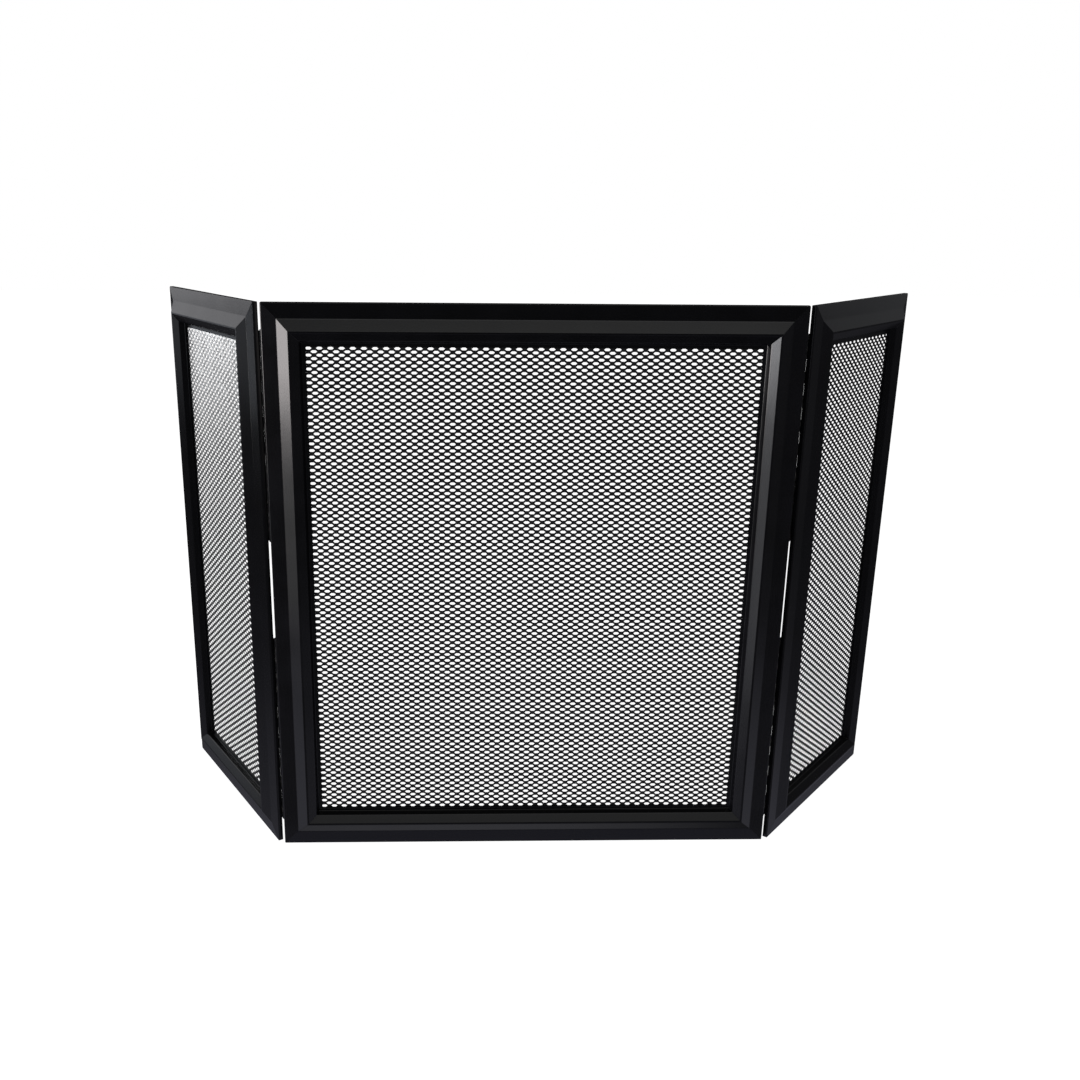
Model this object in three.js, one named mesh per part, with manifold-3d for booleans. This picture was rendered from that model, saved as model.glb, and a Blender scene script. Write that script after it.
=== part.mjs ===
// Three-panel folding fireplace screen: a centre panel and two wings half its width, hinged at its sides.
// Each panel is a mitred frame of roll-formed steel moulding with expanded steel mesh held behind its lip.
// Millimetres, +Z up, front facing -Y. The origin is under the middle of the centre panel's bottom rail.

import * as THREE from 'three';
import { mergeVertices } from 'three/addons/utils/BufferGeometryUtils.js';
import Module from 'manifold-3d';

// Driving dimensions
const PANEL_HEIGHT = 762;
const CENTRE_WIDTH = 692;
const WING_WIDTH = 345;
const LEFT_FOLD = 60; // degrees that each wing stands folded back from flat
const RIGHT_FOLD = 50;

// Moulding, rolled from one strip of sheet steel
const SHEET = 1.2;
const EDGE_DEPTH = 7; // thickness of the panel at its outer edge
const LIP_DEPTH = 5; // from the front of the outer edge to the back of the lip around the mesh
const RETURN_WIDTH = 16; // flange turned in behind the outer edge, which the hinges are riveted to
const FACE_WIDTH = 20.3;
const FACE_RISE = 2;
const CREST_START = 34.8;
const CREST_END = 37.2;
const CREST_HEIGHT = 10.8;
const BEVEL_END = 47.8;
const BEVEL_HEIGHT = 4.2;
const LIP_START = 50;
const MOULDING_WIDTH = 55;
const ARC_STEPS = 3; // flat facets in each rounded bend
const SEAM = 0.3; // gap left at each mitre
const GROUND_CORNER = 4; // radius that the outer corners are ground to
const CORNER_MARGIN = 0.5;

// Mesh and the strips that clamp it behind the lip
const GAP = 0.3; // clearance between pieces that lie on each other
const MESH_THICKNESS = 0.5;
const MESH_INSET = 44;
const STRIP_THICKNESS = 1.2;
const STRIP_INSET = 42;
const STRIP_WIDTH = 12;

// Hinges: two on each side, with long end sleeves on the wing leaf and short knuckles between them
const AXIS_OUTSIDE = 1; // from a panel's outer edge to the hinge axis
const AXIS_DEPTH = 9.2; // from the front of the outer edge to the hinge axis
const LEAF_THICKNESS = 1;
const LEAF_WIDTH = 14.5; // how far a leaf reaches in from the panel's edge
const HINGE_FROM_END = 36; // from a panel's top or bottom to the nearer end sleeve
const SHORT_SLEEVE = 32;
const LONG_SLEEVE = 102;
const KNUCKLES = 9;
const KNUCKLE_PITCH = 15.7;
const KNUCKLE_PLAY = 0.4;
const KNUCKLE_RADIUS = 1.9;
const SLEEVE_RADIUS = 2.1;
const BORE_RADIUS = 1.15;
const PIN_RADIUS = 1;
const PIN_HEAD_RADIUS = 1.9;
const PIN_HEAD_HEIGHT = 1.2;
const TAB_WIDTH = 3; // the leaf is cut back this far from the axis beside the other leaf's knuckles

// Rivets
const RIVET_RADIUS = 1.6;
const RIVET_HOLE_RADIUS = 1.9;
const RIVET_HEAD_RADIUS = 3.1;
const RIVET_HEAD_HEIGHT = 0.8;
const RIVET_TAIL_RADIUS = 2.3;
const RIVET_TAIL_LENGTH = 2.4;
const RIVET_INSET = 9; // from the panel's outer edge
const RIVET_END_MARGIN = 16;
const RIVET_SIDES = 12;

const KNUCKLE_SPAN = KNUCKLES * KNUCKLE_PITCH;
const HINGE_LENGTH = SHORT_SLEEVE + KNUCKLE_SPAN + LONG_SLEEVE;
const STRIP_FRONT = LIP_DEPTH + GAP + MESH_THICKNESS + GAP;
const LEAF_FRONT = EDGE_DEPTH + GAP - AXIS_DEPTH; // from the hinge axis

const wasm = await Module();
wasm.setup();

function paint(color, roughness, metalness) {
  return new THREE.MeshStandardMaterial({ color, roughness, metalness });
}

const framePaint = paint(0x17181b, 0.42, 0.35);
const meshPaint = paint(0x0d0d0e, 0.6, 0.3);
const stripPaint = paint(0x141416, 0.55, 0.3);
const hingePaint = paint(0x1d1d1f, 0.38, 0.6);
const rivetPaint = paint(0x2a2a2c, 0.35, 0.8);

// Turns a closed geometry into a solid that can be joined and cut.
function toSolid(geometry) {
  const bare = geometry.clone();
  bare.deleteAttribute('normal');
  bare.deleteAttribute('uv');
  const merged = mergeVertices(bare, 1e-4);
  const vertProperties = new Float32Array(merged.attributes.position.array);
  const triVerts = new Uint32Array(merged.index.array);
  return new wasm.Manifold(new wasm.Mesh({ numProp: 3, vertProperties, triVerts }));
}

function toGeometry(solid) {
  const mesh = solid.getMesh();
  const geometry = new THREE.BufferGeometry();
  geometry.setAttribute('position', new THREE.Float32BufferAttribute(mesh.vertProperties, 3));
  geometry.setIndex(new THREE.Uint32BufferAttribute(mesh.triVerts, 1));
  geometry.computeVertexNormals();
  return geometry;
}

function named(name, geometry, material) {
  const mesh = new THREE.Mesh(geometry, material);
  mesh.name = name;
  return mesh;
}

function box(x0, x1, y0, y1, z0, z1) {
  const geometry = new THREE.BoxGeometry(x1 - x0, y1 - y0, z1 - z0);
  geometry.translate((x0 + x1) / 2, (y0 + y1) / 2, (z0 + z1) / 2);
  return geometry;
}

// A round bar or tube along Z.
function tube(radius, bore, z0, z1, sides) {
  const shape = new THREE.Shape();
  shape.absarc(0, 0, radius, 0, 2 * Math.PI, false);
  if (bore > 0) {
    shape.holes.push(new THREE.Path().absarc(0, 0, bore, 0, 2 * Math.PI, true));
  }
  const settings = { depth: z1 - z0, bevelEnabled: false, curveSegments: sides / 2 };
  const geometry = new THREE.ExtrudeGeometry(shape, settings);
  geometry.translate(0, 0, z0);
  return geometry;
}

// Replaces the corner between two legs of a path by an arc of the given radius.
function bend(before, corner, after, radius) {
  const into = corner.clone().sub(before).normalize();
  const out = after.clone().sub(corner).normalize();
  const turn = Math.atan2(into.cross(out), into.dot(out));
  const setback = radius * Math.tan(Math.abs(turn) / 2);
  const start = corner.clone().addScaledVector(into, -setback);
  const side = Math.sign(turn);
  const centre = start.clone().add(new THREE.Vector2(-into.y, into.x).multiplyScalar(side * radius));
  const points = [];
  for (let i = 0; i <= ARC_STEPS; i++) {
    const angle = (turn * i) / ARC_STEPS;
    points.push(start.clone().rotateAround(centre, angle));
  }
  return points;
}

// The line beside a path, at the given distance to its right.
function beside(path, distance) {
  return path.map((point, i) => {
    const into = point.clone().sub(path[Math.max(i - 1, 0)]).normalize();
    const out = path[Math.min(i + 1, path.length - 1)].clone().sub(point).normalize();
    const along = into.add(out).normalize();
    const leg = i > 0 ? point.clone().sub(path[i - 1]).normalize() : out;
    const right = new THREE.Vector2(along.y, -along.x);
    return point.clone().addScaledVector(right, distance / along.dot(leg));
  });
}

// Section of the moulding. x runs in from the panel's outer edge, and y runs forward from its front.
function mouldingSection() {
  const back = -EDGE_DEPTH;
  const lip = SHEET - LIP_DEPTH;
  const corners = [
    [RETURN_WIDTH, back, 0],
    [0, back, 1.3],
    [0, 0, 1.6],
    [FACE_WIDTH, FACE_RISE, 4],
    [CREST_START, CREST_HEIGHT, 1.6],
    [CREST_END, CREST_HEIGHT, 1.6],
    [BEVEL_END, BEVEL_HEIGHT, 3],
    [LIP_START, lip, 1.2],
    [MOULDING_WIDTH, lip, 0],
  ];
  const at = corners.map(([x, y]) => new THREE.Vector2(x, y));
  const outside = corners.flatMap(([, , radius], i) =>
    radius > 0 ? bend(at[i - 1], at[i], at[i + 1], radius) : [at[i]],
  );
  const inside = beside(outside, SHEET);
  return new THREE.Shape([...outside, ...inside.reverse()]);
}

// Prism that takes the sharp points off a panel's outer corners.
function groundOutline(width) {
  const shape = new THREE.Shape();
  const low = -CORNER_MARGIN;
  const right = width + CORNER_MARGIN;
  const top = PANEL_HEIGHT + CORNER_MARGIN;
  const r = GROUND_CORNER;
  shape.moveTo(low + r, low);
  shape.lineTo(right - r, low);
  shape.absarc(right - r, low + r, r, -Math.PI / 2, 0, false);
  shape.lineTo(right, top - r);
  shape.absarc(right - r, top - r, r, 0, Math.PI / 2, false);
  shape.lineTo(low + r, top);
  shape.absarc(low + r, top - r, r, Math.PI / 2, Math.PI, false);
  shape.lineTo(low, low + r);
  shape.absarc(low + r, low + r, r, Math.PI, 1.5 * Math.PI, false);
  const depth = 2 * (CREST_HEIGHT + EDGE_DEPTH);
  const geometry = new THREE.ExtrudeGeometry(shape, { depth, bevelEnabled: false, curveSegments: 4 });
  geometry.rotateX(Math.PI / 2);
  geometry.translate(0, depth / 2, 0);
  return toSolid(geometry);
}

// A length of moulding along X with mitred ends, its outer edge at z = 0 and its front towards -Y.
function mitredMoulding(length) {
  const geometry = new THREE.ExtrudeGeometry(mouldingSection(), { depth: 1, bevelEnabled: false });
  const position = geometry.attributes.position;
  const setback = (SEAM / 2) * Math.SQRT2;
  for (let i = 0; i < position.count; i++) {
    const inward = position.getX(i);
    const forward = position.getY(i);
    const fromEnd = inward + setback;
    const along = position.getZ(i) < 0.5 ? fromEnd : length - fromEnd;
    position.setXYZ(i, along, -forward, inward);
  }
  return geometry;
}

// Holes for the hinge rivets through the flange behind a stile's outer edge, at the heights given.
function drillFlange(stile, edgeX, side, heights) {
  let drilled = stile;
  for (const z of heights) {
    const drill = tube(RIVET_HOLE_RADIUS, 0, EDGE_DEPTH / 2, 2 * EDGE_DEPTH, RIVET_SIDES);
    drill.rotateX(-Math.PI / 2);
    drill.translate(edgeX + side * RIVET_INSET, 0, z);
    drilled = drilled.subtract(toSolid(drill));
  }
  return drilled;
}

// The four members of a frame whose lower left corner is at x = 0. Each hinged edge has its rivet heights.
function frameMembers(width, leftRivets, rightRivets) {
  const outline = groundOutline(width);
  const place = (length, angle, x, z) => {
    const geometry = mitredMoulding(length);
    geometry.rotateY(angle);
    geometry.translate(x, 0, z);
    return toSolid(geometry).intersect(outline);
  };
  const left = place(PANEL_HEIGHT, Math.PI / 2, 0, PANEL_HEIGHT);
  const right = place(PANEL_HEIGHT, -Math.PI / 2, width, 0);
  return {
    top_rail: toGeometry(place(width, Math.PI, width, PANEL_HEIGHT)),
    bottom_rail: toGeometry(place(width, 0, 0, 0)),
    left_stile: toGeometry(drillFlange(left, 0, 1, leftRivets)),
    right_stile: toGeometry(drillFlange(right, width, -1, rightRivets)),
  };
}

function meshSheet(width) {
  const front = LIP_DEPTH + GAP;
  return box(MESH_INSET, width - MESH_INSET, front, front + MESH_THICKNESS, MESH_INSET, PANEL_HEIGHT - MESH_INSET);
}

// Flat strips that clamp the mesh: the top and bottom ones run right across, and the side ones fit between.
function clampStrips(width) {
  const back = STRIP_FRONT + STRIP_THICKNESS;
  const strip = (x0, x1, z0, z1) => box(x0, x1, STRIP_FRONT, back, z0, z1);
  const inner = STRIP_INSET + STRIP_WIDTH;
  const low = STRIP_INSET;
  const high = PANEL_HEIGHT - STRIP_INSET;
  const sideLow = inner + GAP;
  const sideHigh = PANEL_HEIGHT - inner - GAP;
  return {
    top_strip: strip(low, width - low, high - STRIP_WIDTH, high),
    bottom_strip: strip(low, width - low, low, inner),
    left_strip: strip(low, inner, sideLow, sideHigh),
    right_strip: strip(width - inner, width - low, sideLow, sideHigh),
  };
}

// Heights within one hinge, counted from its short sleeve. Even knuckles belong to the centre panel.
function knuckleRanges(parity) {
  const ranges = [];
  for (let i = parity; i < KNUCKLES; i += 2) {
    const start = SHORT_SLEEVE + i * KNUCKLE_PITCH;
    ranges.push([start + KNUCKLE_PLAY / 2, start + KNUCKLE_PITCH - KNUCKLE_PLAY / 2]);
  }
  return ranges;
}

const FRAME_LEAF_RANGE = [SHORT_SLEEVE + KNUCKLE_PLAY / 2, SHORT_SLEEVE + KNUCKLE_SPAN - KNUCKLE_PLAY / 2];
const WING_LEAF_RANGE = [0, HINGE_LENGTH];
const FRAME_RIVETS = FRAME_LEAF_RANGE.map((z, i) => z + (i === 0 ? 1 : -1) * RIVET_END_MARGIN);
const WING_RIVETS = [RIVET_END_MARGIN, HINGE_LENGTH / 2, HINGE_LENGTH - RIVET_END_MARGIN];

// Turns a height counted from a hinge's short sleeve into a height above the floor.
function hingeHeight(z, isUpper) {
  return isUpper ? PANEL_HEIGHT - HINGE_FROM_END - z : HINGE_FROM_END + z;
}

function hingeHeights(list) {
  return [true, false].flatMap((isUpper) => list.map((z) => hingeHeight(z, isUpper)));
}

// One leaf with its knuckles, around a hinge axis at x = 0, y = 0. side says which way the leaf runs in X.
function hingeLeaf(side, isUpper, leafRange, knuckles, sleeves, rivets) {
  const leafBack = LEAF_FRONT + LEAF_THICKNESS;
  const reach = AXIS_OUTSIDE + LEAF_WIDTH;
  const span = ([z0, z1]) => [hingeHeight(z0, isUpper), hingeHeight(z1, isUpper)].sort((a, b) => a - b);
  const plate = (near, far, range) => {
    const [x0, x1] = [side * near, side * far].sort((a, b) => a - b);
    return toSolid(box(x0, x1, LEAF_FRONT, leafBack, ...span(range)));
  };
  let leaf = plate(TAB_WIDTH, reach, leafRange);
  for (const range of knuckles) {
    leaf = leaf.add(toSolid(tube(KNUCKLE_RADIUS, 0, ...span(range), 14))).add(plate(0, TAB_WIDTH, range));
  }
  for (const range of sleeves) {
    leaf = leaf.add(toSolid(tube(SLEEVE_RADIUS, 0, ...span(range), 16))).add(plate(0, TAB_WIDTH, range));
  }
  leaf = leaf.subtract(toSolid(tube(BORE_RADIUS, 0, -1, PANEL_HEIGHT, 12)));
  for (const z of rivets) {
    const drill = tube(RIVET_HOLE_RADIUS, 0, -EDGE_DEPTH, EDGE_DEPTH, RIVET_SIDES);
    drill.rotateX(-Math.PI / 2);
    drill.translate(side * (AXIS_OUTSIDE + RIVET_INSET), 0, hingeHeight(z, isUpper));
    leaf = leaf.subtract(toSolid(drill));
  }
  return toGeometry(leaf);
}

// Pin through all of one hinge's knuckles, peened over at both ends.
function hingePin(isUpper) {
  const low = -PIN_HEAD_HEIGHT - GAP;
  const high = HINGE_LENGTH + PIN_HEAD_HEIGHT + GAP;
  const profile = [
    [0, low],
    [PIN_HEAD_RADIUS * 0.7, low],
    [PIN_HEAD_RADIUS, -GAP - PIN_HEAD_HEIGHT / 2],
    [PIN_HEAD_RADIUS, -GAP],
    [PIN_RADIUS, -GAP],
    [PIN_RADIUS, HINGE_LENGTH + GAP],
    [PIN_HEAD_RADIUS, HINGE_LENGTH + GAP],
    [PIN_HEAD_RADIUS, HINGE_LENGTH + GAP + PIN_HEAD_HEIGHT / 2],
    [PIN_HEAD_RADIUS * 0.7, high],
    [0, high],
  ].map(([r, z]) => new THREE.Vector2(r, z));
  const geometry = new THREE.LatheGeometry(profile, 12);
  geometry.rotateX(Math.PI / 2);
  const shift = isUpper ? PANEL_HEIGHT - HINGE_FROM_END - HINGE_LENGTH : HINGE_FROM_END;
  geometry.translate(0, 0, shift);
  return geometry;
}

// Blind rivet through a hinge leaf and the flange in front of it, with its axis along Y and its head at the back.
function rivet() {
  const leafBack = EDGE_DEPTH + GAP + LEAF_THICKNESS;
  const flangeFront = EDGE_DEPTH - SHEET - GAP;
  const head = leafBack + GAP / 2;
  const profile = [
    [0, flangeFront - RIVET_TAIL_LENGTH],
    [RIVET_TAIL_RADIUS * 0.7, flangeFront - RIVET_TAIL_LENGTH],
    [RIVET_TAIL_RADIUS, flangeFront - RIVET_TAIL_LENGTH / 2],
    [RIVET_TAIL_RADIUS, flangeFront],
    [RIVET_RADIUS, flangeFront],
    [RIVET_RADIUS, head],
    [RIVET_HEAD_RADIUS, head],
    [RIVET_HEAD_RADIUS * 0.8, head + RIVET_HEAD_HEIGHT * 0.75],
    [0, head + RIVET_HEAD_HEIGHT],
  ].map(([r, y]) => new THREE.Vector2(r, y));
  return new THREE.LatheGeometry(profile, RIVET_SIDES);
}

// Frame, mesh and clamp strips of one panel, in a group with its lower left front corner at the origin.
function makePanel(prefix, width, leftRivets, rightRivets) {
  const panel = new THREE.Group();
  for (const [name, geometry] of Object.entries(frameMembers(width, leftRivets, rightRivets))) {
    panel.add(named(`${prefix}_${name}`, geometry, framePaint));
  }
  panel.add(named(`${prefix}_mesh`, meshSheet(width), meshPaint));
  for (const [name, geometry] of Object.entries(clampStrips(width))) {
    panel.add(named(`${prefix}_${name}`, geometry, stripPaint));
  }
  return panel;
}

// Adds one hinge leaf and its rivets to the panel whose edge it is on. edgeX is that edge.
function addLeaf(panel, name, edgeX, side, isUpper, leaf, rivets) {
  const mesh = named(`${name}_leaf`, leaf, hingePaint);
  mesh.position.set(edgeX - side * AXIS_OUTSIDE, AXIS_DEPTH, 0);
  panel.add(mesh);
  rivets.forEach((z, i) => {
    const fastener = named(`${name}_rivet_${i + 1}`, rivet(), rivetPaint);
    fastener.position.set(edgeX + side * RIVET_INSET, 0, hingeHeight(z, isUpper));
    panel.add(fastener);
  });
}

// Both hinges between the centre panel and one wing. side is -1 for the left wing and 1 for the right one.
function addHinges(centre, wing, side) {
  const sideName = side < 0 ? 'left' : 'right';
  const frameEdge = side < 0 ? 0 : CENTRE_WIDTH;
  const wingEdge = side < 0 ? WING_WIDTH : 0;
  const sleeves = [
    [0, SHORT_SLEEVE - KNUCKLE_PLAY / 2],
    [SHORT_SLEEVE + KNUCKLE_SPAN + KNUCKLE_PLAY / 2, HINGE_LENGTH],
  ];
  for (const isUpper of [true, false]) {
    const name = `${sideName}_${isUpper ? 'upper' : 'lower'}_hinge`;
    const frameLeaf = hingeLeaf(-side, isUpper, FRAME_LEAF_RANGE, knuckleRanges(0), [], FRAME_RIVETS);
    addLeaf(centre, `${name}_frame`, frameEdge, -side, isUpper, frameLeaf, FRAME_RIVETS);
    const wingLeaf = hingeLeaf(side, isUpper, WING_LEAF_RANGE, knuckleRanges(1), sleeves, WING_RIVETS);
    addLeaf(wing, `${name}_wing`, wingEdge, side, isUpper, wingLeaf, WING_RIVETS);
    const pin = named(`${name}_pin`, hingePin(isUpper), hingePaint);
    pin.position.set(wingEdge - side * AXIS_OUTSIDE, AXIS_DEPTH, 0);
    wing.add(pin);
  }
}

// A wing turned about its hinge axis, in a group placed in the centre panel's frame.
function hangWing(wing, side, fold) {
  const wingEdge = side < 0 ? WING_WIDTH : 0;
  wing.position.set(-(wingEdge - side * AXIS_OUTSIDE), -AXIS_DEPTH, 0);
  const swing = new THREE.Group();
  const frameEdge = side < 0 ? 0 : CENTRE_WIDTH;
  swing.position.set(frameEdge + side * AXIS_OUTSIDE, AXIS_DEPTH, 0);
  swing.rotation.z = side * THREE.MathUtils.degToRad(fold);
  swing.add(wing);
  return swing;
}

const screen = new THREE.Group();
screen.position.set(-CENTRE_WIDTH / 2, -EDGE_DEPTH / 2, 0);

const frameHoles = hingeHeights(FRAME_RIVETS);
const wingHoles = hingeHeights(WING_RIVETS);
const centrePanel = makePanel('centre', CENTRE_WIDTH, frameHoles, frameHoles);
const leftWing = makePanel('left_wing', WING_WIDTH, [], wingHoles);
const rightWing = makePanel('right_wing', WING_WIDTH, wingHoles, []);
addHinges(centrePanel, leftWing, -1);
addHinges(centrePanel, rightWing, 1);
screen.add(centrePanel);
screen.add(hangWing(leftWing, -1, LEFT_FOLD));
screen.add(hangWing(rightWing, 1, RIGHT_FOLD));

export default screen;
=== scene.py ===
"""Looks for the folding fireplace screen: expanded mesh, seam welds, paint, studio and camera."""

import math

import bpy
from mathutils import Matrix, Vector


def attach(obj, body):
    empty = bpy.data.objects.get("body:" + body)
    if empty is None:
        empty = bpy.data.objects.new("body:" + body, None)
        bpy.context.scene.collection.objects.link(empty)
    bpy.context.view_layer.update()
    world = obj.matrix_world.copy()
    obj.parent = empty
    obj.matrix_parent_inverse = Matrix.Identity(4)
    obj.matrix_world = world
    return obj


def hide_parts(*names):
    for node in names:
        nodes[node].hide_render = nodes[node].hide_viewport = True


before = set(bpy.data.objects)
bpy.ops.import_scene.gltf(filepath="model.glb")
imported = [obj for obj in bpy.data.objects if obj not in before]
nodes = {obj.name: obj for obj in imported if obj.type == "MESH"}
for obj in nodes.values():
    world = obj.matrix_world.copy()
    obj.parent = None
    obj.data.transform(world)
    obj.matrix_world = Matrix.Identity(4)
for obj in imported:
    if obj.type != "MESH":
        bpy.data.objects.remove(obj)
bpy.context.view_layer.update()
MM = 0.001

PANELS = {
    "centre": "centre_panel",
    "left_wing": "left_wing_panel",
    "right_wing": "right_wing_panel",
}


# ---------------------------------------------------------------- materials

def new_material(name):
    material = bpy.data.materials.new(name)
    material.use_nodes = True
    tree = material.node_tree
    return material, tree, tree.nodes["Principled BSDF"]


def add(tree, kind, **settings):
    node = tree.nodes.new(kind)
    for key, value in settings.items():
        if key in node.inputs:
            node.inputs[key].default_value = value
        else:
            setattr(node, key, value)
    return node


def ramp(tree, source, stops):
    """A colour ramp over a node's output, with stops of (position, colour)."""
    node = tree.nodes.new("ShaderNodeValToRGB")
    elements = node.color_ramp.elements
    elements[0].position, elements[0].color = stops[0][0], (*stops[0][1], 1)
    elements[1].position, elements[1].color = stops[-1][0], (*stops[-1][1], 1)
    for position, colour in stops[1:-1]:
        elements.new(position).color = (*colour, 1)
    tree.links.new(source, node.inputs["Fac"])
    return node.outputs["Color"]


PEEL_DEPTH = 0.4 * MM
RUBBED_AND_HIGHLIGHT = (0.11, 0.105, 0.1, 1)  # where the paint is rubbed thin, and painted highlight along the hinges
RUB_AND_HIGHLIGHT_STRETCH = (1, 1, 0.3)  # draws the rubbed patches out up and down, into streaks of painted highlight


def rub_and_highlight(tree, place, colour, wear_and_highlight):
    """Small rubbed patches over a colour, drawn out into streaks that are partly painted highlight."""
    stretch = add(tree, "ShaderNodeVectorMath", operation="MULTIPLY")
    stretch.inputs[1].default_value = RUB_AND_HIGHLIGHT_STRETCH
    tree.links.new(place, stretch.inputs[0])
    patch = add(tree, "ShaderNodeTexNoise", Scale=230.0, Detail=2.0, Roughness=0.5)
    tree.links.new(stretch.outputs["Vector"], patch.inputs["Vector"])
    rub_and_highlight_mask = ramp(tree, patch.outputs["Fac"], [(0.52, (0, 0, 0)), (0.64, (wear_and_highlight, wear_and_highlight, wear_and_highlight))])
    mix = add(tree, "ShaderNodeMix", data_type="RGBA")
    tree.links.new(rub_and_highlight_mask, mix.inputs["Factor"])
    tree.links.new(colour, mix.inputs[6])
    mix.inputs[7].default_value = RUBBED_AND_HIGHLIGHT
    return mix.outputs[2]


def paint(name, dark, light, rough, peel=0.06, wear_and_highlight=0.0):
    """Sprayed enamel: cloudy colour, uneven gloss, orange peel and, if worn, small rubbed patches that are
    partly painted highlight.
    """
    material, tree, shader = new_material(name)
    links = tree.links
    place = add(tree, "ShaderNodeTexCoord").outputs["Object"]
    cloud = add(tree, "ShaderNodeTexNoise", Scale=14.0, Detail=5.0, Roughness=0.6)
    speck = add(tree, "ShaderNodeTexNoise", Scale=900.0, Detail=3.0, Roughness=0.7)
    skin = add(tree, "ShaderNodeTexNoise", Scale=420.0, Detail=2.0, Roughness=0.5)
    for noise in (cloud, speck, skin):
        links.new(place, noise.inputs["Vector"])
    tone = ramp(tree, cloud.outputs["Fac"], [(0.35, dark), (0.65, light)])
    grain = add(tree, "ShaderNodeMix", data_type="RGBA", blend_type="SOFT_LIGHT")
    grain.inputs["Factor"].default_value = 0.5
    links.new(tone, grain.inputs[6])
    links.new(speck.outputs["Fac"], grain.inputs[7])
    colour = rub_and_highlight(tree, place, grain.outputs[2], wear_and_highlight) if wear_and_highlight else grain.outputs[2]
    links.new(colour, shader.inputs["Base Color"])
    low, high = rough
    gloss = ramp(tree, cloud.outputs["Fac"], [(0.3, (low,) * 3), (0.7, (high,) * 3)])
    links.new(gloss, shader.inputs["Roughness"])
    bump = add(tree, "ShaderNodeBump", Strength=peel, Distance=PEEL_DEPTH)
    links.new(skin.outputs["Fac"], bump.inputs["Height"])
    links.new(bump.outputs["Normal"], shader.inputs["Normal"])
    return material


FRAME_PAINT = paint("frame_paint", (0.0011, 0.0011, 0.0014), (0.0019, 0.0019, 0.0026), (0.17, 0.22), 0.05)
MESH_PAINT = paint("mesh_paint", (0.0040, 0.0040, 0.0044), (0.0075, 0.0075, 0.008), (0.42, 0.55), 0.2)
STRIP_PAINT = paint("strip_paint", (0.0055, 0.0055, 0.006), (0.009, 0.009, 0.0098), (0.36, 0.48), 0.12, 0.08)
# The last number is how much rubbed wear and painted highlight a finish gets; the hinges and rivets get the
# most.
HINGE_PAINT = paint("hinge_paint", (0.004, 0.004, 0.0045), (0.008, 0.008, 0.0083), (0.22, 0.32), 0.06, 0.45)
RIVET_PAINT = paint("rivet_paint", (0.014, 0.014, 0.015), (0.028, 0.028, 0.029), (0.24, 0.36), 0.06, 0.5)
WELD_PAINT = paint("weld_paint", (0.0035, 0.0035, 0.004), (0.006, 0.006, 0.0068), (0.34, 0.5), 0.3)


def finish_for(name):
    if "rivet" in name:
        return RIVET_PAINT
    if "hinge" in name:
        return HINGE_PAINT
    if name.endswith("_strip"):
        return STRIP_PAINT
    if name.endswith("_mesh"):
        return MESH_PAINT
    return FRAME_PAINT


# ---------------------------------------------------------------- CAD nodes

JOINED = 0.01 * MM  # vertices nearer than this are one
SHARP = math.radians(38)  # edges that turn by less are formed bends


def soften(node, width):
    """Joins the split vertices, rounds the sharp edges and shades the formed bends smoothly."""
    for polygon in node.data.polygons:
        polygon.use_smooth = True
    weld = node.modifiers.new("weld", "WELD")
    weld.merge_threshold = JOINED
    bevel = node.modifiers.new("bevel", "BEVEL")
    bevel.width = width
    bevel.segments = 2
    bevel.limit_method = "ANGLE"
    bevel.angle_limit = SHARP
    bevel.harden_normals = True
    bevel.miter_outer = "MITER_ARC"
    flat = node.modifiers.new("flat", "WEIGHTED_NORMAL")
    flat.keep_sharp = False
    flat.weight = 80


def edge_width(name):
    if "rivet" in name or "pin" in name:
        return 0.12 * MM
    if "hinge" in name:
        return 0.15 * MM
    return 0.22 * MM


for name, node in nodes.items():
    node.data.materials.clear()
    node.data.materials.append(finish_for(name))
    if not name.endswith("_mesh"):
        soften(node, edge_width(name))


# ---------------------------------------------------------------- panels' own axes

class Panel:
    """Where a panel's mesh sheet lies: low left front corner, the way right, the way back, and its size."""

    def __init__(self, sheet):
        corners = [v.co.copy() for v in sheet.data.vertices]
        low = min(c.z for c in corners)
        base = [c for c in corners if c.z < low + MM]
        far = max(base, key=lambda c: (c - base[0]).length)
        start = max(base, key=lambda c: (c - far).length)
        side = min((c for c in base if (c - start).length > 0.1 * MM), key=lambda c: (c - start).length)
        self.back = (side - start).normalized()
        if self.back.y < 0:
            self.back = -self.back
        self.right = self.back.cross(Vector((0, 0, 1)))
        across = [c.dot(self.right) for c in corners]
        depth = [c.dot(self.back) for c in corners]
        self.width = max(across) - min(across)
        self.height = max(c.z for c in corners) - low
        self.thickness = max(depth) - min(depth)
        self.corner = self.right * min(across) + self.back * min(depth) + Vector((0, 0, low))

    def at(self, x, y, z):
        return self.corner + self.right * x + self.back * y + Vector((0, 0, z))


def new_piece(name, points, faces, material, body):
    mesh = bpy.data.meshes.new(name)
    mesh.from_pydata(points, [], faces)
    mesh.validate()
    mesh.materials.append(material)
    piece = bpy.data.objects.new(name, mesh)
    bpy.context.scene.collection.objects.link(piece)
    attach(piece, body)
    return piece


# ---------------------------------------------------------------- expanded mesh

LONG_WAY = 14.0 * MM  # from one bond to the next across the panel
SHORT_WAY = 8.75 * MM  # from one bond to the next up the panel
STRAND = 2.68 * MM  # height of the metal left on each side of a slit, in the centre
WING_SHORT_WAY = 1.06 * SHORT_WAY  # the wings' rows are a little taller
WING_STRAND = 1.14 * STRAND
BOND = 5.6 * MM  # length of the metal left between two slits in a row
BOND_TOP = 0.72 * BOND  # length of the bond's upper and lower edges
LEAN = 0.42 * MM  # how far the strands' upper edges stand before the sheet and their lower edges behind it
PRESSED = 0.2 * MM  # what is left of the lean where the frame holds the sheet
HELD = 13 * MM  # how far the pressed margin reaches in from the sheet's border


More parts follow.
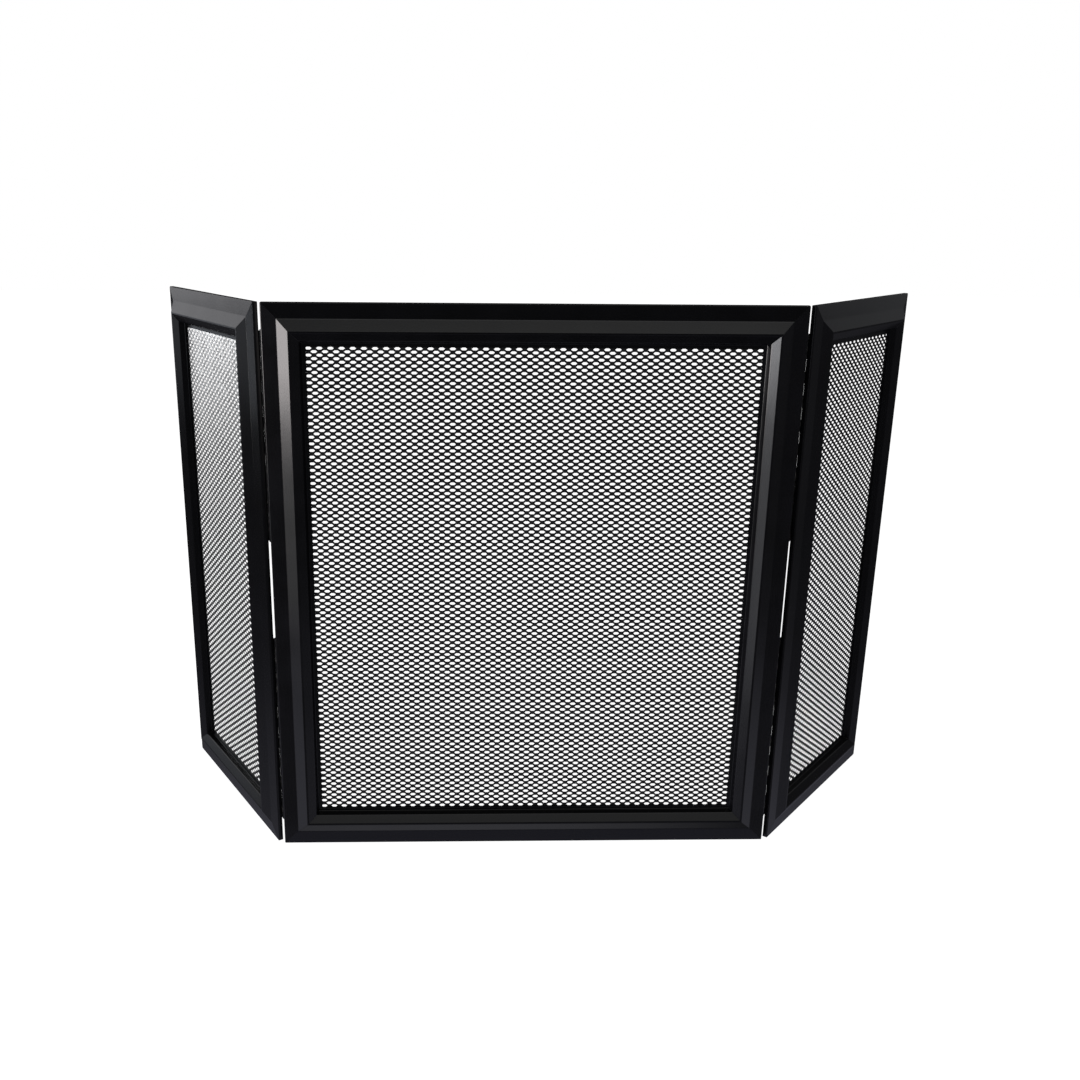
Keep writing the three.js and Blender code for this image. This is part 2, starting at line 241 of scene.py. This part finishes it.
def expanded_sheet(width, height, thickness, short_way, strand):
    """Points and faces of expanded metal, over a sheet from (0, 0) to (width, height) in x and z."""
    columns = round(width / LONG_WAY)
    rows = round(height / short_way)
    step_x = width / columns
    step_z = height / rows
    points, index, flat = [], {}, []

    def vertex(x, z, lean):
        key = (round(x / JOINED), round(z / JOINED))
        if key not in index:
            index[key] = len(points)
            margin = min(x, width - x, z, height - z)
            points.append((x, lean * (LEAN if margin > HELD else PRESSED), z))
        return index[key]

    tip = BOND / 2
    lid = BOND_TOP / 2
    for i in range(2 * columns + 1):
        for j in range(2 * rows + 1):
            if (i + j) % 2:
                continue
            x, z = i * step_x / 2, j * step_z / 2
            left, right = vertex(x - tip, z, 0), vertex(x + tip, z, 0)
            top = vertex(x - lid, z + strand, -1), vertex(x + lid, z + strand, -1)
            low = vertex(x - lid, z - strand, 1), vertex(x + lid, z - strand, 1)
            flat.append((left, low[0], low[1], right))
            flat.append((left, right, top[1], top[0]))
            if j == 2 * rows:
                continue
            z_up = z + step_z / 2
            if i < 2 * columns:
                x_up = x + step_x / 2
                under = vertex(x_up - lid, z_up - strand, 1)
                flat.append((right, under, vertex(x_up - tip, z_up, 0), top[1]))
            if i > 0:
                x_up = x - step_x / 2
                under = vertex(x_up + lid, z_up - strand, 1)
                flat.append((left, top[0], vertex(x_up + tip, z_up, 0), under))
    count = len(points)
    half = thickness / 2
    solid = [(x, y - half, z) for x, y, z in points] + [(x, y + half, z) for x, y, z in points]
    faces = list(flat) + [tuple(v + count for v in reversed(face)) for face in flat]
    edges = {(face[k - 1], face[k]) for face in flat for k in range(len(face))}
    faces += [(b, a, a + count, b + count) for a, b in sorted(edges) if (b, a) not in edges]
    return solid, faces


def make_mesh(prefix, body, short_way, strand):
    panel = Panel(nodes[f"{prefix}_mesh"])
    points, faces = expanded_sheet(panel.width, panel.height, panel.thickness, short_way, strand)
    inside = [panel.at(min(max(x, 0), panel.width), y + panel.thickness / 2, min(max(z, 0), panel.height))
              for x, y, z in points]
    piece = new_piece(f"{prefix}_expanded_mesh", inside, faces, MESH_PAINT, body)
    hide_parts(f"{prefix}_mesh")


for prefix, body in PANELS.items():
    if prefix == "centre":
        make_mesh(prefix, body, SHORT_WAY, STRAND)
    else:
        make_mesh(prefix, body, WING_SHORT_WAY, WING_STRAND)


# ---------------------------------------------------------------- welds in the mitres

SEAM = 0.3 * MM  # between the end faces of two members
CLEAR = 0.02 * MM  # between the weld and each end face


def fill_mitres(prefix, body):
    """Closes each mitre with a skin of weld, grown from the end faces of the rails."""
    panel = Panel(nodes[f"{prefix}_mesh"])
    for rail, up in (("top_rail", -1), ("bottom_rail", 1)):
        mesh = nodes[f"{prefix}_{rail}"].data
        for side, outward in (("left", -1), ("right", 1)):
            normal = (panel.right * outward + Vector((0, 0, up))).normalized()
            caps = [p for p in mesh.polygons if p.normal.dot(normal) > 0.999]
            used = sorted({v for p in caps for v in p.vertices})
            order = {v: k for k, v in enumerate(used)}
            near = [mesh.vertices[v].co + normal * CLEAR for v in used]
            far = [mesh.vertices[v].co + normal * (SEAM - CLEAR) for v in used]
            count = len(used)
            ends = [[order[v] for v in p.vertices] for p in caps]
            faces = [[v + count for v in end] for end in ends] + [end[::-1] for end in ends]
            edges = {(end[k - 1], end[k]) for end in ends for k in range(len(end))}
            faces += [(a, b, b + count, a + count) for a, b in sorted(edges) if (b, a) not in edges]
            new_piece(f"{prefix}_{rail}_{side}_weld", near + far, faces, WELD_PAINT, body)


for prefix, body in PANELS.items():
    fill_mitres(prefix, body)


# ---------------------------------------------------------------- studio

FLOOR_REACH = 12.0
FLOOR_DROP = 0.2 * MM  # below the frames' lower edges, so that the two never share a plane
FLOOR_GLOW = 0.97  # keeps the floor as pale as the backdrop


def floor():
    mesh = bpy.data.meshes.new("floor")
    reach = FLOOR_REACH
    square = [(-reach, -reach, 0), (reach, -reach, 0), (reach, reach, 0), (-reach, reach, 0)]
    mesh.from_pydata(square, [], [(0, 1, 2, 3)])
    piece = bpy.data.objects.new("floor", mesh)
    piece.location.z = -FLOOR_DROP
    bpy.context.scene.collection.objects.link(piece)
    material, tree, shader = new_material("floor")
    shader.inputs["Base Color"].default_value = (0.8, 0.8, 0.8, 1)
    shader.inputs["Roughness"].default_value = 0.9
    shader.inputs["Specular IOR Level"].default_value = 0.0
    shader.inputs["Emission Color"].default_value = (1, 1, 1, 1)
    shader.inputs["Emission Strength"].default_value = FLOOR_GLOW
    mesh.materials.append(material)
    piece.visible_glossy = False
    piece.visible_shadow = False


def lamp(name, place, target, size, watts, colour=(1, 1, 1)):
    data = bpy.data.lights.new(name, "AREA")
    data.shape = "RECTANGLE"
    data.size, data.size_y = size
    data.energy = watts
    data.color = colour
    lamp_object = bpy.data.objects.new(name, data)
    lamp_object.location = place
    aim = Vector(target) - Vector(place)
    lamp_object.rotation_euler = aim.to_track_quat("-Z", "Y").to_euler()
    lamp_object.visible_camera = False
    bpy.context.scene.collection.objects.link(lamp_object)
    return lamp_object


def lights_only(light, pieces):
    """Keeps a lamp off all pieces but these, as flags would in a studio."""
    receivers = bpy.data.collections.new(light.name + "_receivers")
    for piece in pieces:
        receivers.objects.link(piece)
    light.light_linking.receiver_collection = receivers


# What the paint reflects where there is no lamp: from straight down (0) through level (0.5) to straight
# up (1), looking along the room and looking to either side.
ROOM_AHEAD = [
    (0.0, (0.34, 0.34, 0.38)),
    (0.006, (0.28, 0.28, 0.31)),
    (0.018, (0.03, 0.03, 0.033)),
    (0.08, (0.03, 0.03, 0.035)),
    (0.14, (0.25, 0.25, 0.33)),
    (0.2, (0.18, 0.18, 0.23)),
    (0.26, (0.08, 0.08, 0.09)),
    (0.35, (0.045, 0.045, 0.05)),
    (0.68, (0.045, 0.045, 0.046)),
    (0.74, (0.42, 0.42, 0.42)),
    (0.81, (0.42, 0.42, 0.42)),
    (0.88, (0.1, 0.1, 0.1)),
    (1.0, (0.12, 0.12, 0.12)),
]
ROOM_BESIDE = [
    (0.0, (0.22, 0.22, 0.25)),
    (0.2, (0.38, 0.38, 0.46)),
    (0.275, (0.24, 0.24, 0.29)),
    (0.31, (0.11, 0.11, 0.13)),
    (0.36, (0.055, 0.055, 0.06)),
    (0.42, (0.08, 0.08, 0.088)),
    (0.62, (0.07, 0.07, 0.075)),
    (1.0, (0.12, 0.12, 0.12)),
]


def smooth_step(tree, source, start, end, before=0.0, after=1.0):
    """Goes smoothly from one value to another while the source goes from start to end."""
    step = add(tree, "ShaderNodeMapRange", interpolation_type="SMOOTHSTEP")
    for socket, value in (("From Min", start), ("From Max", end), ("To Min", before), ("To Max", after)):
        step.inputs[socket].default_value = value
    tree.links.new(source, step.inputs["Value"])
    return step.outputs["Result"]


def studio_world():
    """Pure white to the camera, and the dim room to everything else."""
    world = bpy.data.worlds.new("studio")
    bpy.context.scene.world = world
    world.use_nodes = True
    tree = world.node_tree
    background = tree.nodes["Background"]
    seen = add(tree, "ShaderNodeLightPath").outputs["Is Camera Ray"]
    direction = add(tree, "ShaderNodeSeparateXYZ")
    tree.links.new(add(tree, "ShaderNodeTexCoord").outputs["Generated"], direction.inputs["Vector"])
    level = add(tree, "ShaderNodeMapRange")
    level.inputs["From Min"].default_value = -1.0
    tree.links.new(direction.outputs["Z"], level.inputs["Value"])
    side = add(tree, "ShaderNodeMath", operation="ABSOLUTE")
    tree.links.new(direction.outputs["X"], side.inputs[0])
    ahead = ramp(tree, level.outputs["Result"], ROOM_AHEAD)
    beside = ramp(tree, level.outputs["Result"], ROOM_BESIDE)
    shaded = add(tree, "ShaderNodeVectorMath", operation="SCALE")
    tree.links.new(beside, shaded.inputs[0])
    behind = smooth_step(tree, direction.outputs["Y"], 0.1, 0.5, before=1.0, after=0.4)
    tree.links.new(behind, shaded.inputs["Scale"])
    room = add(tree, "ShaderNodeMix", data_type="RGBA")
    tree.links.new(smooth_step(tree, side.outputs[0], 0.3, 0.85), room.inputs["Factor"])
    tree.links.new(ahead, room.inputs[6])
    tree.links.new(shaded.outputs["Vector"], room.inputs[7])
    backdrop = add(tree, "ShaderNodeMix", data_type="RGBA")
    tree.links.new(seen, backdrop.inputs["Factor"])
    tree.links.new(room.outputs[2], backdrop.inputs[6])
    backdrop.inputs[7].default_value = (1, 1, 1, 1)
    tree.links.new(backdrop.outputs[2], background.inputs["Color"])


floor()
studio_world()

# Each lamp has its name, place, target, size, watts and colour. Those below the floor shine up through it,
# as it casts no shadow, and stand for light from a white studio sweep.
key_lamps = (
    lamp("key_softbox", (-2.15, -0.95, 1.18), (-0.2, 0, 0.68), (1.6, 1.9), 88, (1.0, 0.945, 0.94)),
    lamp("key_spill", (-2.15, -0.95, -0.05), (-0.2, 0, -0.05), (1.6, 0.7), 2.0),
    lamp("key_sweep", (-2.15, -0.95, -0.95), (-0.2, 0, -0.95), (1.6, 0.8), 1.0, (0.84, 0.86, 1.0)),
    lamp("right_sweep", (2.15, -0.35, -0.9), (0.3, 0, -0.9), (1.2, 0.8), 0.35, (0.86, 0.88, 1.0)),
)
side_lamps = (
    lamp("side_softbox", (-1.66, -1.9, 1.18), (0.29, -0.95, 0.68), (0.42, 1.9), 20, (0.95, 0.96, 1.0)),
    lamp("side_spill", (-1.66, -1.9, -0.35), (0.29, -0.95, -0.35), (0.42, 1.1), 1.8, (0.92, 0.94, 1.0)),
)
wing_lamps = (
    lamp("wing_fill", (-2.15, -0.95, 1.25), (-0.2, 0, 0.75), (1.6, 1.9), 5, (0.88, 0.92, 1.0)),
    lamp("wing_strip", (-2.6, 0.42, 0.85), (-0.37, 0.02, 0.85), (0.25, 1.3), 4, (0.95, 0.97, 1.0)),
    lamp("wing_sweep", (-2.98, 1.83, 0.36), (-0.74, -0.27, 0.36), (1.3, 0.56), 0.95, (0.86, 0.91, 1.0)),
)
mesh_lamp = lamp("mesh_fill", (-2.2, 1.2, 0.55), (-0.43, 0.15, 0.6), (1.0, 0.6), 38, (0.96, 0.98, 1.0))
lamp("top_softbox", (0.2, -1.6, 2.3), (0, 0, 0.4), (2.0, 1.2), 4.0)
lamp("left_backdrop", (-2.64, 2.2, 1.47), (-0.4, 0.1, 1.2), (1.0, 1.6), 4.2, (0.96, 0.96, 1.0))
lamp("right_backdrop", (2.7, 1.75, 1.42), (0.5, 0.1, 1.2), (1.3, 1.6), 0.75, (0.94, 0.96, 1.0))

left_stile, right_stile = nodes["centre_left_stile"], nodes["centre_right_stile"]
all_pieces = [piece for piece in bpy.context.scene.objects if piece.type == "MESH"]
other_pieces = [piece for piece in all_pieces if piece not in (left_stile, right_stile)]
for light in key_lamps:
    lights_only(light, [left_stile, right_stile])
for light in side_lamps:
    lights_only(light, [right_stile])
for light in wing_lamps:
    lights_only(light, other_pieces)
lights_only(mesh_lamp, [bpy.data.objects["left_wing_expanded_mesh"]])


# ---------------------------------------------------------------- camera

CAMERA_PLACE = (-0.1123, -1.4297, 0.8648)
PITCH, YAW, ROLL = math.radians(17.09), math.radians(1.78), math.radians(0.53)
LENS, SENSOR = 37.23, 36.0
SHIFT_X, SHIFT_Y = 0.0551, 0.0190


def camera():
    """Looks down by the pitch and to the right by the yaw, and is turned about its own axis by the roll."""
    ahead = Vector((math.sin(YAW) * math.cos(PITCH), math.cos(YAW) * math.cos(PITCH), -math.sin(PITCH)))
    level = ahead.cross(Vector((0, 0, 1))).normalized()
    upright = level.cross(ahead)
    right = level * math.cos(ROLL) + upright * math.sin(ROLL)
    data = bpy.data.cameras.new("camera")
    data.sensor_width = SENSOR
    data.lens = LENS
    data.shift_x = SHIFT_X
    data.shift_y = SHIFT_Y
    eye = bpy.data.objects.new("camera", data)
    turn = Matrix((right, right.cross(ahead), -ahead)).transposed()
    eye.matrix_world = Matrix.Translation(CAMERA_PLACE) @ turn.to_4x4()
    bpy.context.scene.collection.objects.link(eye)
    bpy.context.scene.camera = eye


camera()
bpy.context.scene.view_settings.view_transform = "Standard"
